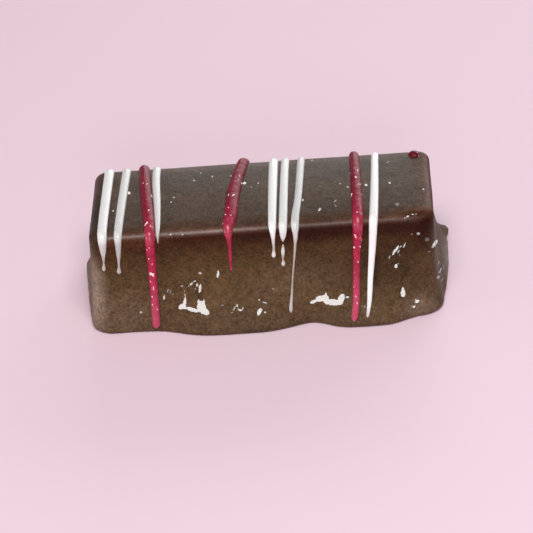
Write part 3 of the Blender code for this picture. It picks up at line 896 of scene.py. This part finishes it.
class Value:
    """A socket that carries a value. Arithmetic on it adds Math nodes to its tree."""

    def __init__(self, tree, socket):
        self.tree = tree
        self.socket = socket

    def __add__(self, other):
        return self.tree.maths("ADD", self, other)

    __radd__ = __add__

    def __sub__(self, other):
        return self.tree.maths("SUBTRACT", self, other)

    def __rsub__(self, other):
        return self.tree.maths("SUBTRACT", other, self)

    def __mul__(self, other):
        return self.tree.maths("MULTIPLY", self, other)

    __rmul__ = __mul__

    def __truediv__(self, other):
        return self.tree.maths("DIVIDE", self, other)

    def __rtruediv__(self, other):
        return self.tree.maths("DIVIDE", other, self)

    def __gt__(self, other):
        return self.tree.maths("GREATER_THAN", self, other)

    def least(self, other):
        return self.tree.maths("MINIMUM", self, other)

    def most(self, other):
        return self.tree.maths("MAXIMUM", self, other)

    def step(self, low, high):
        """0 below low, 1 above high, and smooth between."""
        return self.tree.node(
            "ShaderNodeMapRange",
            {"interpolation_type": "SMOOTHSTEP"},
            {"Value": self, "From Min": low, "From Max": high, "To Min": 0.0, "To Max": 1.0},
            "Result",
        )


# A Mix node's first input, its second input and its output, by the kind of value that it mixes
MIX_SOCKETS = {"FLOAT": (2, 3, 0), "VECTOR": (4, 5, 1), "RGBA": (6, 7, 2)}


class Tree:
    """Adds nodes to one node tree."""

    def __init__(self, tree):
        self.tree = tree

    def feed(self, socket, value):
        """Links a value to a socket, or sets the socket to a plain number, colour or vector."""
        if isinstance(value, Value):
            self.tree.links.new(value.socket, socket)
        elif socket.type == "RGBA" and len(value) == 3:
            socket.default_value = (*value, 1.0)
        else:
            socket.default_value = value

    def node(self, kind, settings, inputs, output=None):
        """A node of this type: its settings are set first, then its sockets. Returns the output asked for."""
        made = self.tree.nodes.new(kind)
        for name, value in settings.items():
            if name == "stops":
                self.set_stops(made.color_ramp.elements, value)
            else:
                setattr(made, name, value)
        for name, value in inputs.items():
            self.feed(made.inputs[name], value)
        return None if output is None else Value(self, made.outputs[output])

    def set_stops(self, ramp, stops):
        while len(ramp) < len(stops):
            ramp.new(0.5)
        for element, (place, colour) in zip(ramp, stops):
            element.position = place
            element.color = (*colour, 1.0)

    def maths(self, operation, *values):
        return self.node("ShaderNodeMath", {"operation": operation}, dict(enumerate(values)), "Value")

    def blend(self, first, second, share, kind="RGBA"):
        """Two colours mixed, or two vectors or numbers."""
        first_socket, second_socket, output = MIX_SOCKETS[kind]
        inputs = {0: share, first_socket: first, second_socket: second}
        return self.node("ShaderNodeMix", {"data_type": kind}, inputs, output)

    def place(self):
        return self.node("ShaderNodeTexCoord", {}, {}, "Object")

    def part_of(self, vector, axis):
        return self.node("ShaderNodeSeparateXYZ", {}, {"Vector": vector}, axis)

    def stored(self, name):
        """The number that a material's piece holds at each point under this name."""
        return self.node("ShaderNodeAttribute", {"attribute_name": name}, {}, "Fac")

    def noise(self, place, size, detail=2.0, roughness=0.5, output="Fac"):
        """Smooth noise about 0 to 1 whose lumps are about this size."""
        inputs = {"Vector": place, "Scale": 1 / size, "Detail": detail, "Roughness": roughness}
        return self.node("ShaderNodeTexNoise", {}, inputs, output)

    def bump(self, strength, distance, height):
        inputs = {"Strength": strength, "Distance": distance, "Height": height}
        return self.node("ShaderNodeBump", {}, inputs, "Normal")

    def vectors(self, operation, *values, output="Vector"):
        return self.node("ShaderNodeVectorMath", {"operation": operation}, dict(enumerate(values)), output)

    def scaled(self, vector, scale):
        inputs = {"Vector": vector, "Scale": scale}
        return self.node("ShaderNodeVectorMath", {"operation": "SCALE"}, inputs, "Vector")

    def inside(self, place, middle, reach):
        """The distance from an ellipsoid's middle, where 1 is its surface."""
        inputs = {"Vector": place, "Location": middle, "Scale": reach}
        local = self.node("ShaderNodeMapping", {"vector_type": "TEXTURE"}, inputs, "Vector")
        return self.vectors("LENGTH", local, output="Value")


def new_material(name, constants):
    """(material, its tree, its shader), with what is the same all over set on the shader's sockets."""
    material = bpy.data.materials.new(name)
    material.use_nodes = True
    shader = material.node_tree.nodes["Principled BSDF"]
    tree = Tree(material.node_tree)
    for socket, value in constants.items():
        tree.feed(shader.inputs[socket], value)
    return material, tree, shader


def ramp_place(down):
    """Where a distance down from the edge, in millimetres, lies on the coat's colour ramp."""
    first, last = COAT_COLOURS[0][0], COAT_COLOURS[-1][0]
    return (down - first) / (last - first)


class CoatPattern(NamedTuple):
    """What the chocolate's colour, gloss and normal read at each place."""

    place: Value
    along: Value
    down: Value
    cloud: Value
    mottle: Value
    grain: Value


def coat_pattern(tree):
    place = tree.place()
    return CoatPattern(
        place,
        tree.part_of(place, "X"),
        tree.stored("down"),
        tree.noise(place, CLOUD_SIZE, 3.0),
        tree.noise(place, MOTTLE_SIZE, 3.0, 0.6),
        tree.noise(place, GRAIN_SIZE, 3.0, 0.7),
    )


def chocolate_colour(tree, coat):
    """Greyer on top, partly as painted sheen, with a painted highlight on the edge, painted shade under it,
    paler low down as painted light, and patches of painted light and shade.
    """
    stops = [(ramp_place(at), colour) for at, colour in COAT_COLOURS]
    strayed = ramp_place(coat.down) + COLOUR_STRAY * (coat.cloud - 0.5) + COLOUR_STRAY * (coat.mottle - 0.5)
    colour = tree.node("ShaderNodeValToRGB", {"stops": stops}, {"Fac": strayed}, "Color")
    for tint in PAINTED_PATCHES:
        middle, reach = ([value * MM for value in values] for values in (tint.middle, tint.reach))
        distance = tree.inside(coat.place, middle, reach) + TINT_STRAY * (coat.cloud - 0.5)
        colour = tree.blend(colour, tint.colour, (1.0 - distance).step(0.0, TINT_FADE) * tint.strength)
    shade = 1.0 + CLOUD_SHADE * (coat.cloud - 0.5) + MOTTLE_SHADE * (coat.mottle - 0.5)
    return tree.scaled(colour, shade + GRAIN_SHADE * (coat.grain - 0.5))


def chocolate_roughness(coat):
    """A little smoother on top than on the walls, and dull along the top's left rim."""
    flat = 1.0 - coat.down.step(*TOP_END)
    left_rim = 1.0 - coat.along.step(*LEFT_RIM)
    rough = WALL_ROUGHNESS - TOP_SMOOTHNESS * flat - CLOUD_SMOOTHNESS * (coat.cloud - 0.5)
    return rough + RIM_DULLNESS * flat * left_rim


def arris_gloss(coat):
    """The gloss along the top edge, which fades towards the right."""
    arris = coat.down.step(*ARRIS_RISE) * (1.0 - coat.down.step(*ARRIS_FALL))
    arris = arris * (1.0 - ARRIS_END_LOSS * coat.along.step(*ARRIS_END))
    fading = ARRIS_GLOSS - ARRIS_MIDDLE_LOSS * coat.along.step(*ARRIS_MIDDLE)
    fading = fading - ARRIS_RIGHT_LOSS * coat.along.step(*ARRIS_RIGHT) + ARRIS_CLOUDING * (coat.cloud - 0.5)
    return arris * fading


def chocolate_normal(tree, coat, front, top):
    """A fine bump. Where marks are, flat wrinkled faces that send a lamp's light to the photograph's view."""
    ripple = tree.noise(coat.place, WRINKLE_SIZE, 2.0, output="Color")
    wrinkle = tree.scaled(tree.vectors("SUBTRACT", ripple, (0.5, 0.5, 0.5)), WRINKLE)
    normal = tree.bump(0.5, COAT_BUMP, coat.mottle * 0.5 + coat.grain * 0.5)
    for lamp, marks in ((FRONT_LAMP, front), (KEY_LAMP, top)):
        normal = tree.blend(normal, tree.vectors("ADD", wrinkle, facet(lamp)), marks, "VECTOR")
    return tree.vectors("NORMALIZE", normal)


def chocolate_finish(name, specular):
    """Milk chocolate with smooth places where marks are, paled a little there as a painted highlight."""
    material, tree, shader = new_material(
        name, {"IOR": 1.5, "Specular IOR Level": specular, "Coat Roughness": 0.42, "Coat IOR": 1.5}
    )
    coat = coat_pattern(tree)
    front = tree.stored("front_mark").step(*MARK_RIM)
    top = tree.stored("top_mark").step(*MARK_RIM)
    marks = front.most(top)
    mark_rough = MARK_ROUGHNESS - MARK_SMOOTHNESS * tree.stored("mark_strength")
    colour = tree.blend(chocolate_colour(tree, coat), MARK_HIGHLIGHT_COLOUR, marks * MARK_HIGHLIGHT_SHARE)
    tree.feed(shader.inputs["Base Color"], colour)
    tree.feed(shader.inputs["Roughness"], tree.blend(chocolate_roughness(coat), mark_rough, marks, "FLOAT"))
    tree.feed(shader.inputs["Coat Weight"], arris_gloss(coat))
    tree.feed(shader.inputs["Normal"], chocolate_normal(tree, coat, front, top))
    return material


def white_chocolate():
    """White where a line is thick. Where it is thin, the chocolate under it greys it. Down the front, towards
    the left, it is darkened as painted shade.
    """
    material, tree, shader = new_material(
        "white_chocolate",
        {
            "IOR": 1.46,
            "Subsurface Weight": 0.2,
            "Subsurface Radius": (0.6, 0.5, 0.35),
            "Subsurface Scale": 0.6 * MM,
            "Coat Roughness": 0.25,
            "Coat IOR": 1.5,
        },
    )
    place = tree.place()
    lump = tree.noise(place, WHITE_SHAPE["Lump Size"])
    at_left = 1.0 - tree.part_of(place, "X").step(*PAINTED_SHADE_FADE_ALONG)
    shade = tree.stored("shade") * (1.0 - PAINTED_FRONT_SHADE * tree.stored("over").step(*PAINTED_SHADE_FROM) * at_left)
    white = tree.scaled(WHITE, shade * (0.95 + 0.1 * lump))
    thick = tree.stored("width").step(*THIN_WIDTHS)
    tree.feed(shader.inputs["Base Color"], tree.blend(THIN_WHITE, white, thick))
    tree.feed(shader.inputs["Roughness"], 0.25 + 0.2 * lump)
    tree.feed(shader.inputs["Coat Weight"], 0.2 + 0.4 * lump)
    return material


def raspberry_coating(name, look):
    """Fruit-coloured coating, painted darker on top as shade and brighter down the front, with small flat
    places that glint.
    """
    material, tree, shader = new_material(
        name, {"IOR": 1.5, "Specular IOR Level": 0.25, "Coat Roughness": 0.3, "Coat IOR": 1.5}
    )
    place = tree.place()
    over = tree.stored("over")
    lump = tree.noise(place, RASPBERRY_LUMP, 3.0)
    on_top, below, low = look.colours
    colour = tree.blend(on_top, below, over.step(*RASPBERRY_EDGE))
    colour = tree.scaled(tree.blend(colour, low, over.step(*RASPBERRY_DRIP)), 0.5 + lump)
    tree.feed(shader.inputs["Base Color"], colour)
    tree.feed(shader.inputs["Roughness"], 0.3 + 0.2 * lump)
    tree.feed(shader.inputs["Coat Weight"], over.step(*RIDGE_RISE) * (1.0 - over.step(*RIDGE_FALL)))
    height = lump * 0.5 + tree.noise(place, RASPBERRY_WAVE, 1.0)
    tree.feed(shader.inputs["Normal"], tree.bump(0.6, RASPBERRY_BUMP, height))
    covered = glints(tree, place, over, look)
    plain = Value(tree, shader.outputs["BSDF"])
    inputs = {0: covered, 1: plain, 2: glint(tree, over, colour)}
    mixed = tree.node("ShaderNodeMixShader", {}, inputs, "Shader")
    tree.feed(material.node_tree.nodes["Material Output"].inputs["Surface"], mixed)
    return material


def glints(tree, place, over, look):
    """Where the raspberry coating glints."""
    stretched = tree.vectors("MULTIPLY", place, GLINT_STRETCH)
    levels = [level - look.glint_share for level in GLINT_LEVELS]
    return tree.noise(stretched, GLINT_SIZE, 1.0).step(*levels) * over.step(*look.glints_from)


def glint(tree, over, colour):
    """The finish of a glint: a face that sends a lamp's light to the photograph's view."""
    facing = tree.blend(facet(KEY_LAMP), facet(FRONT_LAMP), over.step(*GLINT_TURN), "VECTOR")
    inputs = {"Base Color": colour, "Roughness": 0.14, "Specular IOR Level": 1.0, "Normal": facing}
    return tree.node("ShaderNodeBsdfPrincipled", {}, inputs, "BSDF")


def geometry_tree(name, inputs):
    """(tree, its inputs' values) of new Geometry Nodes with a geometry and these named inputs."""
    group = bpy.data.node_groups.new(name, "GeometryNodeTree")
    for label, kind in {"Geometry": "Geometry", **inputs}.items():
        group.interface.new_socket(label, in_out="INPUT", socket_type=f"NodeSocket{kind}")
    group.interface.new_socket("Geometry", in_out="OUTPUT", socket_type="NodeSocketGeometry")
    tree = Tree(group)
    return tree, {label: tree.node("NodeGroupInput", {}, {}, label) for label in ("Geometry", *inputs)}


def end_tree(tree, geometry, *finishes):
    """Ends the tree in Realize Instances and Set Material, for each (material, which faces have it)."""
    geometry = tree.node("GeometryNodeRealizeInstances", {}, {"Geometry": geometry}, "Geometry")
    for material, faces in finishes:
        inputs = {"Geometry": geometry, "Selection": faces, "Material": material}
        geometry = tree.node("GeometryNodeSetMaterial", {}, inputs, "Geometry")
    tree.node("NodeGroupOutput", {}, {"Geometry": geometry})


def held(tree, name, kind):
    """What the geometry holds at each point under this name."""
    return tree.node("GeometryNodeInputNamedAttribute", {"data_type": kind}, {"Name": name}, "Attribute")


def moved(tree, geometry, height):
    """The geometry with each point moved out by a height."""
    normal = tree.node("GeometryNodeInputNormal", {}, {}, "Normal")
    inputs = {"Geometry": geometry, "Offset": tree.scaled(normal, height)}
    return tree.node("GeometryNodeSetPosition", {}, inputs, "Geometry")


def grown(source, group, values):
    """Runs Geometry Nodes on an object, with their inputs set, and gives it the resulting plain mesh."""
    modifier = source.modifiers.new(group.name, "NODES")
    modifier.node_group = group
    for item in group.interface.items_tree:
        if item.in_out == "INPUT" and item.name in values:
            modifier[item.identifier] = values[item.name]
    bpy.context.view_layer.update()
    graph = bpy.context.evaluated_depsgraph_get()
    data = bpy.data.meshes.new_from_object(source.evaluated_get(graph))
    source.modifiers.remove(modifier)
    old = source.data
    source.data = data
    bpy.data.meshes.remove(old)
    data.name = source.name
    return source


def relief_tree():
    """The coat's unevenness: slow waves, and ripples that grow towards the foot."""
    sizes = {label: "Float" for label in COAT_SHAPE}
    tree, given = geometry_tree("coat_relief", {**sizes, "Material": "Material", "Mark Material": "Material"})
    place = tree.node("GeometryNodeInputPosition", {}, {}, "Position")
    up = tree.part_of(place, "Z")
    wave = tree.noise(place, given["Wave Size"], 1.0)
    ripple = tree.noise(place, given["Ripple Size"])
    foot = 1.0 - up.step(*RIPPLE_HEIGHTS)
    height = given["Wave Height"] * (wave - 0.5) * 2.0
    share = LEAST_RIPPLE + (1 - LEAST_RIPPLE) * foot
    height = height + given["Ripple Height"] * (ripple - 0.5) * 2.0 * share
    height = height * up.step(0.0, given["Flat Below"])
    marked = held(tree, "mark", "FLOAT") > MARK_RIM[0]
    finishes = ((given["Material"], True), (given["Mark Material"], marked))
    end_tree(tree, moved(tree, given["Geometry"], height), *finishes)
    return tree.tree


def line_tree():
    """A drizzled line: a domed section swept along a path, as wide as the path says, and a little lumpy."""
    sizes = {label: "Float" for label in WHITE_SHAPE}
    tree, given = geometry_tree("drizzled_line", {**sizes, "Material": "Material"})
    curve = tree.node("GeometryNodeMeshToCurve", {}, {"Mesh": given["Geometry"]}, "Curve")
    inputs = {"Curve": curve, "Normal": held(tree, "facing", "FLOAT_VECTOR")}
    curve = tree.node("GeometryNodeSetCurveNormal", {"mode": "FREE"}, inputs, "Curve")
    inputs = {"Resolution": LINE_SIDES, "Radius": 0.5}
    ring = tree.node("GeometryNodeCurvePrimitiveCircle", {"mode": "RADIUS"}, inputs, "Curve")
    ring_place = tree.node("GeometryNodeInputPosition", {}, {}, "Position")
    side, rise = tree.part_of(ring_place, "X"), tree.part_of(ring_place, "Y")
    dome = rise.most(0.0) * 2.0 * given["Relief"] + rise.least(0.0) * 2.0 * UNDERSIDE
    section = tree.node("ShaderNodeCombineXYZ", {}, {"X": dome, "Y": side}, "Vector")
    ring = tree.node("GeometryNodeSetPosition", {}, {"Geometry": ring, "Position": section}, "Geometry")
    inputs = {"Curve": curve, "Profile Curve": ring, "Scale": held(tree, "width", "FLOAT"), "Fill Caps": True}
    swept = tree.node("GeometryNodeCurveToMesh", {}, inputs, "Mesh")
    place = tree.node("GeometryNodeInputPosition", {}, {}, "Position")
    lump = tree.noise(place, given["Lump Size"])
    swept = moved(tree, swept, (lump - 0.5) * 2.0 * given["Lump Height"])
    inputs = {"Geometry": swept, "Shade Smooth": True}
    smooth = tree.node("GeometryNodeSetShadeSmooth", {}, inputs, "Geometry")
    end_tree(tree, smooth, (given["Material"], True))
    return tree.tree


def smoothed(values):
    """Each row averaged with its neighbours."""
    reach = SMOOTHING // 2
    padded = np.concatenate([values[:1].repeat(reach, 0), values, values[-1:].repeat(reach, 0)])
    sums = np.concatenate([np.zeros_like(values[:1]), np.cumsum(padded, 0)])
    return (sums[SMOOTHING:] - sums[:-SMOOTHING]) / SMOOTHING


def rounded_widths(line, overs):
    """A line's width at each place, rounded off at both ends."""
    widths = steady_curve([(knot.over, knot.width) for knot in line], overs)
    for distance, end_width in ((overs - overs[0], widths[0]), (overs[-1] - overs, widths[-1])):
        rounding = clamp(2 * distance / end_width, TIP_START, 1.0)
        widths = widths * np.sqrt(1 - (1 - rounding) ** 2)
    return widths


def belt_normals(alongs, overs):
    run = belt(alongs + PROBE, overs) - belt(alongs - PROBE, overs)
    fall = belt(alongs, overs + PROBE) - belt(alongs, overs - PROBE)
    normals = np.cross(fall, run)
    return normals / np.linalg.norm(normals, axis=1)[:, None]


def height_of(surface, point, normal):
    """How far the finished coat lies above a point, along a normal. It is 0 where the coat isn't met."""
    start = Vector(point) + Vector(normal) * DROP_HEIGHT
    distance = surface.ray_cast(start, -Vector(normal), 3 * DROP_HEIGHT)[3]
    return 0.0 if distance is None else DROP_HEIGHT - distance


def path_along(line, relief, shade, surface, shift):
    """A line's path on the finished coat, as an object. It holds the line's width, facing, shade and over."""
    first, last = line[0].over, line[-1].over
    overs = np.linspace(first, last, max(LEAST_STEPS, round((last - first) / LINE_STEP)))
    alongs = steady_curve([(knot.over, knot.along) for knot in line], overs)
    widths = rounded_widths(line, overs)
    normals = belt_normals(alongs, overs)
    base = belt(alongs, overs) + np.array(shift)
    lifts = np.array([height_of(surface, point, normal) for point, normal in zip(base, normals)])
    lifts = smoothed(lifts[:, None]) - (widths * relief * LINE_SINK)[:, None]
    points = base + normals * lifts
    made = bpy.data.objects.new("path", bpy.data.meshes.new("path"))
    made.data.from_pydata(points.tolist(), [(i, i + 1) for i in range(len(points) - 1)], [])
    bpy.context.scene.collection.objects.link(made)
    store(made, "width", "FLOAT", widths)
    store(made, "over", "FLOAT", overs / MM)
    store(made, "shade", "FLOAT", np.full(len(points), shade))
    store(made, "facing", "FLOAT_VECTOR", smoothed(normals))
    return made


def make_lines(lines, node_group, values, surface, shift):
    for name, line in lines.items():
        made = path_along(line, values["Relief"], WHITE_SHADES.get(name, 1.0), surface, shift)
        made.name = name.replace("line", "drizzle").replace("drip", "drop").replace("dot", "bead")
        grown(made, node_group, values)
        bm = bmesh.new()
        bm.from_mesh(made.data)
        bmesh.ops.recalc_face_normals(bm, faces=bm.faces)
        bm.to_mesh(made.data)
        bm.free()
        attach(made, "root")
        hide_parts(name)


def make_camera(shift):
    """The photograph's camera."""
    data = bpy.data.cameras.new("camera")
    data.sensor_width = SENSOR
    data.lens = SENSOR * PIXELS_PER_METRE * VIEW_DISTANCE / PHOTO_SIDE
    camera = bpy.data.objects.new("camera", data)
    turn = Matrix(view_axes()).transposed().to_4x4()
    camera.matrix_world = Matrix.Translation(view_place() + shift) @ turn
    bpy.context.scene.collection.objects.link(camera)
    bpy.context.scene.camera = camera


def make_floor():
    bm = bmesh.new()
    bmesh.ops.create_grid(bm, x_segments=2, y_segments=2, size=FLOOR_REACH)
    data = bpy.data.meshes.new("floor")
    bm.to_mesh(data)
    bm.free()
    floor = bpy.data.objects.new("floor", data)
    bpy.context.scene.collection.objects.link(floor)
    material, _, _ = new_material("pale_floor", {"Base Color": FLOOR_COLOUR, "Roughness": FLOOR_ROUGHNESS})
    data.materials.append(material)


def make_lamp(name, lamp):
    data = bpy.data.lights.new(name, "AREA")
    data.shape = "RECTANGLE"
    data.size, data.size_y = lamp.sides
    data.energy = lamp.power
    made = bpy.data.objects.new(name, data)
    made.location = lamp.place
    made.rotation_euler = Vector(lamp.place).to_track_quat("Z", "Y").to_euler()
    bpy.context.scene.collection.objects.link(made)


def make_lights():
    for name, lamp in (("key", KEY_LAMP), ("front", FRONT_LAMP), ("back", BACK_LAMP), ("left", LEFT_LAMP)):
        make_lamp(name, lamp)
    world = bpy.data.worlds.new("studio")
    world.use_nodes = True
    background = world.node_tree.nodes["Background"]
    background.inputs["Color"].default_value = (*ROOM_COLOUR, 1)
    background.inputs["Strength"].default_value = ROOM_STRENGTH
    bpy.context.scene.world = world
    bpy.context.scene.view_settings.view_transform = "Standard"


def main():
    body = make_body()
    shift = place_shift(body)
    body.data.transform(Matrix.Translation(shift))
    finishes = {
        "Material": chocolate_finish("satin_chocolate", SATIN_SPECULAR),
        "Mark Material": chocolate_finish("smooth_chocolate", MARK_SPECULAR),
    }
    grown(body, relief_tree(), {**COAT_SHAPE, **finishes})
    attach(body, "root")
    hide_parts("chocolate_body")
    bm = bmesh.new()
    bm.from_mesh(body.data)
    surface = BVHTree.FromBMesh(bm)
    bm.free()
    tree = line_tree()
    raspberry = raspberry_coating("raspberry_coating", RASPBERRY)
    dark_raspberry = raspberry_coating("dark_raspberry", DARK_RASPBERRY)
    for lines, shape, material, slot in (
        (WHITE_LINES, WHITE_SHAPE, white_chocolate(), "white_chocolate"),
        (RASPBERRY_LINES, RASPBERRY_SHAPE, raspberry, "raspberry"),
        (RASPBERRY_DOT, DOT_SHAPE, dark_raspberry, "raspberry"),
    ):
        make_lines(lines, tree, {**shape, "Material": material}, surface, shift)
    make_floor()
    make_lights()
    make_camera(shift)


main()
